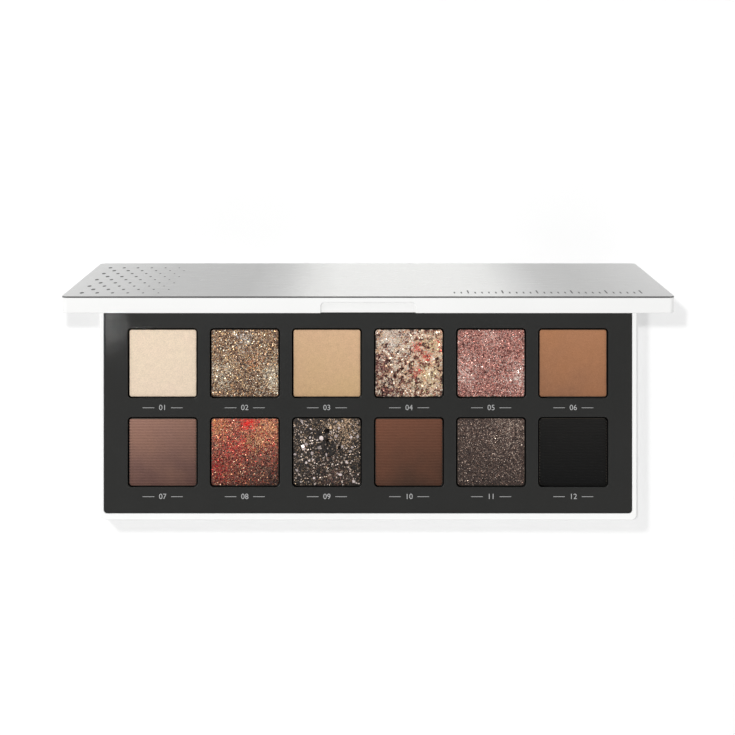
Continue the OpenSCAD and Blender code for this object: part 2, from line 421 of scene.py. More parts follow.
tinplate = metal("tinplate", "5c5650", 0.45, 0.4 * MM)
pin_steel = metal("ground steel", "a8a9ab", 0.25, 0.1 * MM, (1, 0.1, 0.1))
nickel = metal("nickel", "b0aea8", 0.18, 0.5 * MM)
cut_edge = metal("cut edge of the film", "6e6e6e", 0.35, 0.2 * MM)
print("made:", ", ".join(m.name for m in (tinplate, pin_steel, nickel, cut_edge)))

# %% [markdown]
# The film on the lid's outside is satin silver with a faint lengthwise grain. Broad, soft bands of
# lighter and darker silver along its length are a painted reflection.
# A ramp along X, counted as a share of the facing's length, draws them.

# %% Silver film
# Stops of the painted reflection: a share of the film's length and a silver.
PAINTED_REFLECTION_BANDS = ((0.0, "c0c0bf"), (0.10, "b1b1b0"), (0.155, "a1a1a0"), (0.30, "9c9c9b"),
                (0.355, "b1b1b0"), (0.405, "d4d4d2"), (0.45, "e1e1df"), (0.66, "e1e1df"),
                (0.71, "dadad8"), (0.755, "c3c3c2"), (0.80, "aaaaa9"), (0.86, "a2a2a1"),
                (1.0, "b7b7b6"))


def silver_facing():
    """A satin film with bands of painted reflection along its length."""
    finish = metal("satin silver", "d8d8d7", 0.30, 0.25 * MM, (0.05, 1, 1))
    middle = (face_low.x + face_high.x) / 2
    length = face_high.x - face_low.x
    along = place_on(finish, centre=(middle - length / 2, 0, 0), scale=(1 / length, 1, 1))
    split_axes = add_node(finish, "SeparateXYZ")
    wire(finish, along, split_axes.inputs[0])
    # Painted reflection: lighter and darker bands of silver along the film.
    painted_reflection = ramp(finish, split_axes.outputs["X"], [(place, tone(code)) for place, code in PAINTED_REFLECTION_BANDS])
    wire(finish, painted_reflection, shader_of(finish).inputs["Base Color"])
    return finish


facing_finish = silver_facing()
print("made:", facing_finish.name, "with", len(PAINTED_REFLECTION_BANDS), "stops")

# %% [markdown]
# The mirror is a metal with almost no roughness, and a hand's faint smears change it a little.
# Glue and tape are only seen when the palette is taken apart, so they share a simple finish.

# %% Mirror, glue and tape
def mirror_finish():
    """Silvered glass with faint smears."""
    finish = new_finish("mirror", tone("eef2f2"), 0.02, metallic=1.0)
    where = place_on(finish)
    smears = noise_on(finish, where, 14 * MM, detail=5)
    wire(finish, spread(finish, smears, 0.0, 0.04), shader_of(finish).inputs["Roughness"])
    return finish


def soft_filler(name, colour, roughness):
    """A dull, slightly lumpy filler."""
    finish = new_finish(name, tone(colour), roughness)
    where = place_on(finish)
    lumps = noise_on(finish, where, 1.5 * MM, detail=3)
    darker = [0.8 * c for c in tone(colour)[:3]] + [1.0]
    wire(finish, ramp(finish, lumps, [(0.2, darker), (0.8, tone(colour))]),
         shader_of(finish).inputs["Base Color"])
    bump(finish, lumps, 0.05 * MM)
    return finish


mirror_glass = mirror_finish()
glue_finish = soft_filler("hot-melt glue", "e3dcc0", 0.35)
tape_finish = soft_filler("tape", "dcd7ca", 0.7)
print("made:", ", ".join(m.name for m in (mirror_glass, glue_finish, tape_finish)))

# %% [markdown]
# ## Case, deck and lid
#
# Moulded and stamped parts have no knife edges. Each solid of the frame that is already the
# right shape is copied, its loose triangles are merged into clean faces, and a narrow bevel
# rounds every sharp edge so that it catches a thin line of light.

# %% A soft-edged copy of a solid
SAME_POINT = 0.002 * MM
FLAT = math.radians(0.5)
SHARP = math.radians(35)


def softened(name, body, finish, edge, segments=3):
    """Copies a solid of the frame, rounds its sharp edges by edge metres and replaces it."""
    mesh = bmesh.new()
    mesh.from_mesh(frame["nodes"][name].data)
    bmesh.ops.remove_doubles(mesh, verts=mesh.verts, dist=SAME_POINT)
    bmesh.ops.dissolve_limit(mesh, angle_limit=FLAT, verts=mesh.verts, edges=mesh.edges)
    sharp = [e for e in mesh.edges if e.is_manifold and e.calc_face_angle() > SHARP]
    bmesh.ops.bevel(mesh, geom=sharp, offset=edge, offset_type="OFFSET", affect="EDGES",
                    segments=segments, profile=0.5, material=-1, clamp_overlap=False)
    for face in mesh.faces:
        face.smooth = True
    piece = finished_mesh(name + "_soft", mesh)
    shading = piece.modifiers.new("even shading", "WEIGHTED_NORMAL")
    shading.weight = 100
    piece.data.materials.append(finish)
    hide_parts(name)
    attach(piece, body)
    print(piece.name, len(piece.data.polygons), "faces")
    return piece


# %% [markdown]
# The base and the lid are white shells. The deck drops into the base, and the liner frames the
# mirror in the lid. Thick mouldings get wider edges than the thin film does, and the mirror
# has one flat bevel, as ground glass has.

# %% Base, deck, lid, film, frame and mirror
base_piece = softened("base_shell", "base", case_finish, 0.25 * MM)
deck_piece = softened("pan_tray", "base", deck_finish, 0.15 * MM)
softened("lid_shell", "lid", lid_plastic_with_painted_shade, 0.25 * MM)
facing_piece = softened("lid_facing", "lid", facing_finish, 0.05 * MM)
softened("lid_liner", "lid", deck_finish, 0.15 * MM)
softened("mirror", "lid", mirror_glass, 0.5 * MM, segments=1)

# %% [markdown]
# The film is punched out of a sheet, and its cut edge stays dark. It shows as a fine line all
# round the lid. The faces that look sideways are found by their direction.

# %% The film's cut edge
SIDEWAYS = 0.3

facing_piece.data.materials.append(cut_edge)
outward = (to_rest.to_3x3() @ Vector((0, 0, 1))).normalized()
for polygon in facing_piece.data.polygons:
    if abs(polygon.normal.dot(outward)) < SIDEWAYS:
        polygon.material_index = 1
print("cut edge:", sum(p.material_index for p in facing_piece.data.polygons), "faces")

# %% [markdown]
# Two steel pins carry the lid. They are pushed in from the sides of the base, so their ends are
# the only part that shows. The twelve pans are drawn from tinplate, and only the edge of a pan
# can be seen round its powder.

# %% Pins and pans
for side in ("left", "right"):
    softened("hinge_pin_" + side, "base", pin_steel, 0.12 * MM)
PANS = range(1, 13)
for number in PANS:
    softened(f"pan_{number:02d}", "base", tinplate, 0.08 * MM, segments=2)

# %% [markdown]
# Glue, magnets and tape are hidden once the palette is closed up. A new mesh would add nothing,
# so they keep the solids of the frame and only get a finish.

# %% Hidden pieces
HIDDEN = {"pan_glue": glue_finish, "base_magnets": nickel,
          "lid_magnets": nickel, "mirror_tape": tape_finish}

for name, finish in HIDDEN.items():
    node_piece = frame["nodes"][name]
    node_piece.data.materials.clear()
    node_piece.data.materials.append(finish)
print("hidden:", ", ".join(HIDDEN))

# %% [markdown]
# ## Pressed powder
#
# Each pan holds a cake of pressed powder. All twelve start as a fine grid that fills the pan,
# with rounded corners, an edge that sinks a little and walls that go down to the pan's floor.
# What differs is the relief of the top, so every shade brings its own height function.

# %% The shape of a cake
CORNER = 1.0 * MM
RIM_SHOWN = 0.03 * MM
PROUD = 0.10 * MM
EDGE_SINK = 0.14 * MM
EDGE_WIDTH = 0.7 * MM


def round_corner(x, y, half):
    """Moves a point of a square grid into a square with rounded corners."""
    inner = half - CORNER
    u = max(0.0, (abs(x) - inner) / CORNER)
    v = max(0.0, (abs(y) - inner) / CORNER)
    if u == 0 or v == 0:
        return x, y
    return (math.copysign(inner + CORNER * u * math.sqrt(1 - v * v / 2), x),
            math.copysign(inner + CORNER * v * math.sqrt(1 - u * u / 2), y))


def edge_drop(x, y, half):
    """How far the top sinks beside the pan's wall."""
    away = min(half - abs(x), half - abs(y)) / EDGE_WIDTH
    return EDGE_SINK * max(0.0, 1 - away) ** 2


def lumps(x, y, grain, seed, octaves=3):
    """Smooth random relief, about -1 to 1, whose lumps are grain metres wide."""
    return noise.fractal(Vector((x / grain, y / grain, seed)), 1.0, 2.0, octaves)


def cake_place(number):
    """The middle of a cake's top and half its width; a cake is pressed a little over the rim."""
    low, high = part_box(f"pan_{number:02d}")
    half = (high.x - low.x) / 2 - RIM_SHOWN
    return Vector(((low.x + high.x) / 2, (low.y + high.y) / 2, high.z + PROUD)), half


# %% [markdown]
# The grid gives the cake its top. Its open edge is extruded down to the pan's floor for the
# walls, and the loop at the foot is filled, so that the cake is a closed solid. Only the top is
# shaded smooth.

# %% A cake's mesh
def cake_mesh(number, cells, height):
    """A pressed cake with the relief height(x, y) on top."""
    top, half = cake_place(number)
    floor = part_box(f"powder_{number:02d}")[0].z
    mesh = bmesh.new()
    bmesh.ops.create_grid(mesh, x_segments=cells[0], y_segments=cells[1], size=half)
    rim = [e for e in mesh.edges if e.is_boundary]
    for vertex in mesh.verts:
        x, y = round_corner(vertex.co.x, vertex.co.y, half)
        vertex.co = (x, y, top.z + height(x, y) - edge_drop(x, y, half))
    wall = bmesh.ops.extrude_edge_only(mesh, edges=rim)["geom"]
    for part in wall:
        if isinstance(part, bmesh.types.BMVert):
            part.co.z = floor
    foot = [part for part in wall if isinstance(part, bmesh.types.BMEdge) and part.is_boundary]
    bmesh.ops.edgeloop_fill(mesh, edges=foot)
    bmesh.ops.translate(mesh, verts=mesh.verts, vec=(top.x, top.y, 0))
    bmesh.ops.recalc_face_normals(mesh, faces=mesh.faces)
    for face in mesh.faces:
        face.smooth = face.normal.z > 0.5
    return mesh


def settle(piece, number):
    """Puts a finished cake in the place of its solid."""
    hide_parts(f"powder_{number:02d}")
    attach(piece, "base")
    print(piece.name, len(piece.data.polygons), "faces")


# %% [markdown]
# ### Matte shades
#
# A matte shade is nearly flat. It is a fine, dry grain with slow cloudy variation, and painted shade
# makes it a little darker towards the front and, in some, to one side. Three of them also keep fine
# crosswise ribs from the cloth that lies between the powder and the press. The ribs are in the mesh, so
# that they catch real light.

# %% Matte finish
LIGHT_ON_DECK = 1.03


def pigment(code):
    """The paint colour that looks like code under the studio light."""
    return (*[c / LIGHT_ON_DECK for c in tone(code)[:3]], 1.0)


def grey(light):
    """A factor that makes a colour lighter or darker without a change of hue."""
    return (light, light, light, 1)


def matte_finish(name, back, front, blush, number, painted_side_shade):
    """Powder that painted shade makes darker from back to front, with clouds of blush; its last
    argument is painted shade that darkens its right side.
    """
    finish = new_finish(name, pigment(back), 0.95, Specular_IOR_Level=0.12)
    top, half = cake_place(number)
    where = place_on(finish)
    share = 1 / (2 * half)
    across = place_on(finish, centre=(top.x - half, top.y - half, 0), scale=(share, share, 1))
    axes = add_node(finish, "SeparateXYZ")
    wire(finish, across, axes.inputs[0])
    # Painted shade: the colour runs from the back colour to the darker front colour.
    fade = ramp(finish, axes.outputs["Y"], [(0.0, pigment(front)), (1.0, pigment(back))])
    clouds = spread(finish, noise_on(finish, where, 8 * MM), 0.0, 0.35, 0.35, 0.8)
    # Painted shade: one side of the cake is made darker than the other.
    side = ramp(finish, axes.outputs["X"], [(0.0, grey(1 + painted_side_shade)), (1.0, grey(1 - painted_side_shade))])
    cloudy = blend_colours(finish, clouds, fade, pigment(blush))
    body = blend_colours(finish, 1.0, cloudy, side, "MULTIPLY")
    grain = noise_on(finish, where, 0.30 * MM, detail=6, roughness=0.75)
    speckle = ramp(finish, grain, [(0.25, grey(0.78)), (0.75, grey(1.18))])
    powder = blend_colours(finish, 1.0, body, speckle, "MULTIPLY")
    relief = add_node(finish, "Attribute", attribute_name="relief")
    # Painted shade and painted light: the hollows of the relief are darkened and its tops lightened.
    shade = ramp(finish, relief.outputs["Fac"], [(0.0, grey(0.84)), (1.0, grey(1.12))])
    wire(finish, blend_colours(finish, 1.0, powder, shade, "MULTIPLY"),
         shader_of(finish).inputs["Base Color"])
    bump(finish, grain, 0.03 * MM)
    return finish


# %% [markdown]
# The relief of a matte cake has three parts: the ribs, which wander a little, soft waves and fine
# crumbs. Each is given by its height and its width. The height of each point is also kept as an
# attribute called relief, and the finish uses it for painted shade that darkens the hollows and painted
# light that brightens the tops a little.

# %% Matte cakes
RIB_PITCH = 0.88 * MM
RIB_WANDER = (0.06 * MM, 9 * MM)
WAVES = (0.012 * MM, 1.6 * MM)
CRUMBS = (0.014 * MM, 0.45 * MM)
GRAIN_DEPTH = 0.08 * MM
PLAIN_CELLS = (110, 110)
RIBBED_CELLS = (60, 200)


def matte_cake(number, slot, back, front, blush, rib=0.0, painted_side_shade=0.0):
    """A matte cake with ribs that are rib metres deep."""
    def height(x, y):
        wander = RIB_WANDER[0] * lumps(x, y, RIB_WANDER[1], number)
        ribs = 0.5 * rib * math.sin(2 * math.pi * (y + wander) / RIB_PITCH)
        waves = WAVES[0] * lumps(x, y, WAVES[1], number)
        return ribs + waves + CRUMBS[0] * lumps(x, y, CRUMBS[1], -number)

    mesh = cake_mesh(number, RIBBED_CELLS if rib else PLAIN_CELLS, height)
    relief = mesh.verts.layers.float.new("relief")
    top = cake_place(number)[0]
    for vertex in mesh.verts:
        above = height(vertex.co.x - top.x, vertex.co.y - top.y)
        vertex[relief] = 0.5 + above / (rib + GRAIN_DEPTH)
    piece = finished_mesh(f"cake_{number:02d}", mesh)
    finish = matte_finish(slot.replace("_", " "), back, front, blush, number, painted_side_shade)
    piece.data.materials.append(finish)
    settle(piece, number)


# For each cake the second colour is its back, and the third its front, made darker by painted shade.
matte_cake(1, "cream_matte", "f0dcc3", "e7d4bc", "edd2c0")
matte_cake(3, "tan_matte", "dcb792", "c8a77e", "d0a78a", painted_side_shade=-0.03)
matte_cake(6, "brown_matte", "b17e5d", "94694f", "b27a52")
matte_cake(7, "mauve_matte", "967265", "563f3c", "96705c", rib=0.14 * MM, painted_side_shade=0.12)
matte_cake(10, "cocoa_matte", "744d3d", "47342b", "764a38", rib=0.09 * MM, painted_side_shade=0.10)
matte_cake(12, "black_matte", "232221", "151515", "191919", rib=0.09 * MM)

# %% [markdown]
# ### Glitter shades
#
# A glitter shade is a rough cake packed with thin mica flakes. A texture alone would sparkle
# the same from everywhere, so the flakes are real: thousands of tiny closed plates with four
# to six sides, each tilted its own way. Every flake and every point of the cake carries its
# own colour in an attribute called tint, picked from the shade's pigments.

# %% Glitter finishes
MID_GREY = (0.5, 0.5, 0.5, 1)


def tinted(finish):
    """Takes the shader's colour from the tint that the mesh carries."""
    tint = add_node(finish, "Attribute", attribute_name="tint")
    return tint.outputs["Color"]


def glitter_finishes(name, shine):
    """The cake's finish and the flakes' finish; shine is how metallic the flakes are."""
    crumb = new_finish(name + " cake", MID_GREY, 0.6, metallic=0.2)
    grain = noise_on(crumb, place_on(crumb), 0.12 * MM, detail=4, roughness=0.7)
    speckle = ramp(crumb, grain, [(0.25, grey(0.6)), (0.75, grey(1.3))])
    wire(crumb, blend_colours(crumb, 1.0, tinted(crumb), speckle, "MULTIPLY"),
         shader_of(crumb).inputs["Base Color"])
    bump(crumb, grain, 0.05 * MM)
    flake = new_finish(name + " flakes", MID_GREY, 0.35, metallic=shine)
    wire(flake, tinted(flake), shader_of(flake).inputs["Base Color"])
    ripple = noise_on(flake, place_on(flake), 0.08 * MM, detail=2)
    wire(flake, spread(flake, ripple, 0.28, 0.46), shader_of(flake).inputs["Roughness"])
    return crumb, flake


# %% [markdown]
# A shade isn't even. Painted shade makes it darker towards the front and to one side, and it has
# patches where other pigments gather. A patch has a centre (as a share of half the cake), a reach, a
# strength and its own colours. One shade also has painted shade in its hollows, where it takes darker
# colours, and paler colours on its crests, which are partly its own and partly painted light.

# %% The colour of one flake or crumb
MOSTLY = 0.75
DIMMEST = 0.38
BRIGHTEST = 1.75
WHITEST = 0.95
PATCH_FRAY = (0.5, 2.5 * MM)
PATCH_SEED = 30


def pick_tint(shade, draw, x, y, half, colours, relief):
    """One of colours, unless the point lies in a patch, a hollow or a crest of the cake."""
    # Painted shade: in the hollows most points take darker colours; on the crests they take paler ones,
    # partly the shade's own and partly painted light.
    if "painted_shade_hollows" in shade and relief < shade["painted_shade_hollows"][0] and draw.random() < MOSTLY:
        colours = shade["painted_shade_hollows"][1]
    if "pale_and_lit_crests" in shade and relief > shade["pale_and_lit_crests"][0] and draw.random() < MOSTLY:
        colours = shade["pale_and_lit_crests"][1]
    for number, ((u, v), reach, strength, patch) in enumerate(shade.get("patches", ())):
        fray = PATCH_FRAY[0] * lumps(x, y, PATCH_FRAY[1], PATCH_SEED + number)
        away = math.hypot(x / half - u, y / half - v) / reach + fray
        if draw.random() < strength * math.exp(-max(0.0, away) ** 2):
            colours = patch
    # Painted shade: the colour gets darker towards the front and, by the side slope, towards one side.
    painted_shade_slope = 1 + (shade["painted_front_shade"] * y + shade["painted_side_shade"] * x) / half
    light = draw.uniform(DIMMEST, BRIGHTEST) * painted_shade_slope
    colour = [light * g * c for g, c in zip(shade["gain"], tone(draw.choice(colours)))]
    return [c * min(1.0, WHITEST / max(colour)) for c in colour] + [1.0]


# %% [markdown]
# A flake is a low cone with four to six sides, so it is closed, has few faces and has a bevelled
# rim. It is laid on the cake's relief, stretched, turned and tilted at random. A mesh gets
# slower to add to as it grows, so the flakes are made in batches that are joined later.

# %% Flakes
BATCH = 250
UP = Vector((0, 0, 1))
INSET = 0.9
STRETCH = (0.6, 1.2)
SIDES = (4, 5, 6)
TAPER = 0.8
THICKNESS = 0.35


def flake_batch(shade, flakes, draw, height, half, top):
    """A mesh of flakes, one for each (radius, colours) in flakes, spread over the cake."""
    mesh = bmesh.new()
    tint = mesh.verts.layers.float_color.new("tint")
    for radius, colours in flakes:
        reach = half - INSET * radius
        x, y = round_corner(draw.uniform(-reach, reach), draw.uniform(-reach, reach), reach)
        lift = height(x, y) - edge_drop(x, y, half) + shade["lift"] * radius
        heading = draw.uniform(0, 2 * math.pi)
        level = Vector((math.cos(heading), math.sin(heading), 0))
        tilt = Matrix.Rotation(draw.gauss(0, shade["tilt"]), 4, level)
        turn = Matrix.Rotation(draw.uniform(0, 2 * math.pi), 4, UP)
        shape = Matrix.Diagonal((draw.uniform(*STRETCH), draw.uniform(*STRETCH), 1, 1))
        place = Matrix.Translation(top + Vector((x, y, lift))) @ tilt @ turn @ shape
        flake = bmesh.ops.create_cone(mesh, cap_ends=True, segments=draw.choice(SIDES),
                                      radius1=radius, radius2=TAPER * radius,
                                      depth=THICKNESS * radius, matrix=place)
        colour = pick_tint(shade, draw, x, y, half, colours, height(x, y) / shade["relief"][1])
        for vertex in flake["verts"]:
            vertex[tint] = colour
    data = bpy.data.meshes.new("flakes")
    mesh.to_mesh(data)
    mesh.free()
    return data


# %% [markdown]
# The whole cake starts from the same grid as a matte one, with a rougher top. Its points get
# their tints first, then every flake gets its radius, and then the flakes are laid down. The
# cake and its flakes are one piece with two finishes, because the press makes them one.

# %% A whole glitter cake
GLITTER_CELLS = (100, 100)
ROUGHNESS = (0.03 * MM, 0.45 * MM)


def glitter_cake(number, shade):
    """A cake of one glitter shade with its flakes."""
    draw = random.Random(number)
    top, half = cake_place(number)
    coarse, depth = shade["relief"]

    def height(x, y):
        rough = ROUGHNESS[0] * lumps(x, y, ROUGHNESS[1], -number)
        return depth * lumps(x, y, coarse, number) + rough

    mesh = cake_mesh(number, GLITTER_CELLS, height)
    tint = mesh.verts.layers.float_color.new("tint")
    for vertex in mesh.verts:
        x, y = vertex.co.x - top.x, vertex.co.y - top.y
        vertex[tint] = pick_tint(shade, draw, x, y, half, shade["ground"], height(x, y) / depth)
    first_flake = len(mesh.faces)
    flakes = []
    for count, span, colours in shade["flakes"]:
        flakes += [(draw.uniform(*span) * MM, colours) for _ in range(count)]
    for start in range(0, len(flakes), BATCH):
        batch = flake_batch(shade, flakes[start:start + BATCH], draw, height, half, top)
        mesh.from_mesh(batch)
        bpy.data.meshes.remove(batch)
    mesh.faces.ensure_lookup_table()
    for face in mesh.faces[first_flake:]:
        face.material_index = 1
    piece = finished_mesh(f"cake_{number:02d}", mesh)
    for finish in glitter_finishes(shade["slot"].replace("_", " "), shade["shine"]):
        piece.data.materials.append(finish)
    settle(piece, number)


# %% [markdown]
# Each shade is one recipe. "relief" is the width and height of its lumps, "ground" the colours of the
# cake, and "flakes" lists a number of flakes, the range of their radius in millimetres and their
# colours. "gain" is how strongly the shade gives back red, green and blue, "painted_front_shade" and
# "painted_side_shade" are its slopes of painted shade to the front and the side, "shine" is how
# metallic its flakes are, and "lift" and "tilt" say how far they stand up. The champagne, rose and
# ember shades are alike.

# %% Champagne
glitter_cake(2, {
    "slot": "champagne_glitter", "relief": (0.8 * MM, 0.11 * MM), "gain": (1.64, 1.76, 2.00),
    "painted_front_shade": 0.14, "painted_side_shade": 0.0, "shine": 0.92, "lift": 0.15, "tilt": 0.36,
    "ground": ["5c4434", "7c5e46", "3a2a20"],
    "flakes": [(2300, (0.15, 0.27), ["9c7452", "c89c6c", "5a4030", "d8b484", "a88a6c", "382820"]),
               (1500, (0.13, 0.24), ["f4e2c0", "e0bc8c", "281c16", "fff0d0"])],
    "patches": [((-0.8, -0.3), 0.35, 0.40, ["f6e6c8", "e4ceaa"]),
                ((0.85, -0.4), 0.4, 0.40, ["f6e6c8", "e0cca8"]),
                ((0.0, 0.7), 0.2, 0.4, ["b4aca0", "8c8478"]),
                ((0.3, 0.0), 0.2, 0.3, ["b87850", "8c5c3e"])]})

# %% [markdown]
# Ivory is a foil shade with big, loosely pressed scales, so its relief is the deepest and its
# larger flakes overlap. Small red patches show where a red pigment was mixed in.

# %% Ivory
glitter_cake(4, {
    "slot": "ivory_foil", "relief": (1.6 * MM, 0.34 * MM), "gain": (1.46, 1.38, 1.36),
    "painted_front_shade": 0.20, "painted_side_shade": 0.14, "shine": 0.82, "lift": 0.3, "tilt": 0.50,
    "ground": ["96705e", "b8947c", "60443a"],
    # Its hollows take darker colours as painted shade, and its crests paler ones, partly its own and
    # partly painted light.
    "painted_shade_hollows": (-0.09, ["4c302c", "6c4a40", "34201e", "805a4c"]),
    "pale_and_lit_crests": (0.13, ["fffaec", "fcf4e0", "e8d4ba", "a8846e"]),
    "flakes": [(2700, (0.14, 0.28), ["f4e6cc", "dcc4a8", "b08a76", "f8eed6", "cca68a", "84605a"]),
               (700, (0.27, 0.48), ["f8f0dc", "ead8bc", "d2b698"])],
    "patches": [((-0.5, 0.7), 0.45, 0.6, ["fbf6ea", "e8e0d4", "b8b0a6"]),
                ((0.8, 0.5), 0.3, 0.5, ["fdf2cc", "efdfb4"]),
                ((0.6, -0.4), 0.35, 0.5, ["fcf0cc", "ecdcb0"]),
                ((0.25, 0.45), 0.12, 0.7, ["b4584c", "c87868"]),
                ((0.5, 0.2), 0.14, 0.7, ["b85a4e", "cc8070"]),
                ((0.9, 0.5), 0.12, 0.7, ["b4584c", "c87868"]),
                ((0.25, -0.3), 0.12, 0.7, ["a8544a", "c27a6c"]),
                ((-0.9, -0.05), 0.25, 0.6, ["5c3c3c", "7c5854"]),
                ((-0.65, -0.85), 0.38, 0.6, ["5c3c3a", "7c5650", "3c2626"])]})

# %% [markdown]
# Rose and ember are the same kind of cake as champagne, in pink and in copper. Ember has a bright red
# spot near its back edge, and strong painted shade makes it much darker towards the front.

# %% Rose and ember
glitter_cake(5, {
    "slot": "rose_glitter", "relief": (0.8 * MM, 0.11 * MM), "gain": (1.66, 1.84, 1.86),
    "painted_front_shade": 0.07, "painted_side_shade": 0.0, "shine": 0.92, "lift": 0.15, "tilt": 0.36,
    "ground": ["7c4c46", "a06c62", "50302c"],
    "flakes": [(2500, (0.15, 0.27), ["ac6c62", "d8988a", "70403a", "e4b0a2", "b87c72", "542f2b"]),
               (1300, (0.12, 0.23), ["f8d8cc", "e2a898", "422422", "ffe6dc"])],
    "patches": [((-0.8, -0.3), 0.35, 0.40, ["f8dcd2", "e4b8ac"]),
                ((0.85, -0.35), 0.4, 0.40, ["f8e0d6", "e2b4a8"]),
                ((0.0, 0.7), 0.2, 0.35, ["eec8bc", "d0a095"])]})
glitter_cake(8, {
    "slot": "ember_glitter", "relief": (0.8 * MM, 0.11 * MM), "gain": (1.39, 1.27, 1.43),
    "painted_front_shade": 0.53, "painted_side_shade": -0.04, "shine": 0.92, "lift": 0.15, "tilt": 0.36,
    "ground": ["643a2c", "88503e", "402820"],
    "flakes": [(2500, (0.14, 0.25), ["a05c48", "c88a68", "5c3228", "d8a072", "a84c40", "3e201a"]),
               (1300, (0.12, 0.23), ["f4d4a6", "dca06e", "2e1814", "c8483c", "fce0b4"])],
    "patches": [((0.13, 0.85), 0.2, 0.9, ["d2302a", "ee483c", "c43c32"]),
                ((-0.25, 0.1), 0.3, 0.35, ["bc3c34", "9c302a"]),
                ((-0.8, -0.5), 0.35, 0.45, ["ac302c", "862824"]),
                ((0.75, 0.7), 0.4, 0.35, ["e0b480", "c0905c"]),
                ((-0.8, 0.8), 0.3, 0.35, ["dcac74", "b87c48"]),
                ((0.3, 0.3), 0.25, 0.3, ["e4bc88", "c8965f"]),
                ((0.5, -0.6), 0.45, 0.5, ["46382e", "645040"]),
                ((0.9, -0.9), 0.3, 0.6, ["3a2e28", "58483c"])]})

# %% [markdown]
# Midnight is nearly black, and a few large pale flakes lie on top of it like confetti. Taupe is
# the finest and the flattest of the six.

# %% Midnight and taupe
glitter_cake(9, {
    "slot": "midnight_glitter", "relief": (1.2 * MM, 0.12 * MM), "gain": (1.82, 1.78, 1.76),
    "painted_front_shade": 0.34, "painted_side_shade": -0.08, "shine": 0.92, "lift": 0.2, "tilt": 0.34,
    "ground": ["1c1816", "28221e", "100e0d"],
    "flakes": [(2100, (0.10, 0.20), ["2c2622", "5a4c40", "16120f", "766856", "8c7862"]),
               (750, (0.13, 0.25), ["b8a698", "8c7c6e", "d2c2b4", "6c5a4c"]),
               (150, (0.25, 0.40), ["ecdfd6", "d4c6bc", "bcaea4"]),
               (36, (0.42, 0.80), ["e6dad8", "d2c6c4"])],
    "patches": [((0.55, 0.7), 0.45, 0.35, ["8c745c", "5c4a3a", "c4ac90"]),
                ((0.0, 0.1), 0.28, 0.8, ["141110", "1c1917"]),
                ((-0.2, 0.55), 0.16, 0.8, ["141110", "1c1917"]),
                ((0.2, -0.9), 0.5, 0.3, ["6a4e46", "4a3832"])]})
glitter_cake(11, {
    "slot": "taupe_glitter", "relief": (0.8 * MM, 0.06 * MM), "gain": (1.40, 1.36, 1.29),
    "painted_front_shade": 0.28, "painted_side_shade": 0.09, "shine": 0.92, "lift": 0.1, "tilt": 0.34,
    "ground": ["362b28", "483a35", "271f1d"],
    "flakes": [(2800, (0.10, 0.18), ["443733", "6a5952", "241b19", "7e685e"]),
               (1300, (0.10, 0.18), ["ccb8ac", "a8958b", "e8d6cc", "181210"])],
    "patches": [((0.6, 0.6), 0.6, 0.12, ["8a7c74", "a89a90"])]})

# %% [markdown]
# ## Print
#
# Each shade has a small printed number in front of it, between two thin rules, and the lid's
# silver face has a fading field of small marks at one end and a row of ticks at the other. Ink
# is a very thin layer, so each print is a shallow solid that stands 0.01 mm proud. Its middle
# is a little lower than half its thickness, so that its foot is buried and leaves no gap.

# %% Ink
INK = 0.012 * MM
INK_MIDDLE = 0.4 * INK


def ink(name, colour):
    """Dull ink that covers a little unevenly."""
    finish = new_finish(name, tone(colour), 0.55, Specular_IOR_Level=0.3)
    coverage = noise_on(finish, place_on(finish), 0.1 * MM, detail=2)
    paler = [0.85 * c for c in tone(colour)[:3]] + [1.0]
    wire(finish, ramp(finish, coverage, [(0.3, paler), (0.7, tone(colour))]),
         shader_of(finish).inputs["Base Color"])
    return finish


def print_on(name, meshes, body, finish):
    """Joins the meshes of one print into a piece."""
    whole = bmesh.new()
    for data in meshes:
        whole.from_mesh(data)
        bpy.data.meshes.remove(data)
    piece = finished_mesh(name, whole)
    piece.data.materials.append(finish)
    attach(piece, body)
    print(piece.name, len(piece.data.polygons), "faces")


# %% [markdown]
# The numbers are a text curve with a thin extrusion, turned into a mesh before it is moved to
# its place. Their figures are generic ones, in Blender's own font. The rules are flat bars.

# %% A printed rule and a printed number
CAP_HEIGHT = 1.73 * MM
FONT_CAP = 0.73


def bar(centre, length, width, turn=None):
    """A thin printed line with its middle at centre."""
    mesh = bmesh.new()
    place = Matrix.Translation(centre) @ Matrix.Diagonal((length, width, INK, 1))
    bmesh.ops.create_cube(mesh, size=1, matrix=place)
    if turn:
        bmesh.ops.transform(mesh, matrix=turn, verts=mesh.verts)
    data = bpy.data.meshes.new("bar")
    mesh.to_mesh(data)
    mesh.free()
    return data


def numeral(number, centre):
    """A two-figure number as a thin solid."""
    text = bpy.data.curves.new("numeral", "FONT")
    text.body = f"{number:02d}"
    text.align_x = "CENTER"
    text.align_y = "CENTER"
    text.size = CAP_HEIGHT / FONT_CAP
    text.extrude = INK / 2
    text.resolution_u = 4
    carrier = bpy.data.objects.new("numeral", text)
    bpy.context.scene.collection.objects.link(carrier)
    bpy.context.view_layer.update()
    flat = carrier.evaluated_get(bpy.context.evaluated_depsgraph_get())
    data = bpy.data.meshes.new_from_object(flat)
    data.transform(Matrix.Translation(centre))
    bpy.data.objects.remove(carrier)
    return data


# %% [markdown]
# Every label is placed from the middle of its own cake, so it stays in front of its pan when
# the pans are moved or made larger. All of them are joined into one piece.

# %% Numbers on the deck
LABEL_AHEAD = 13.8 * MM
RULE_LENGTH = 3.6 * MM
RULE_WIDTH = 0.16 * MM
RULE_PLACE = 4.4 * MM

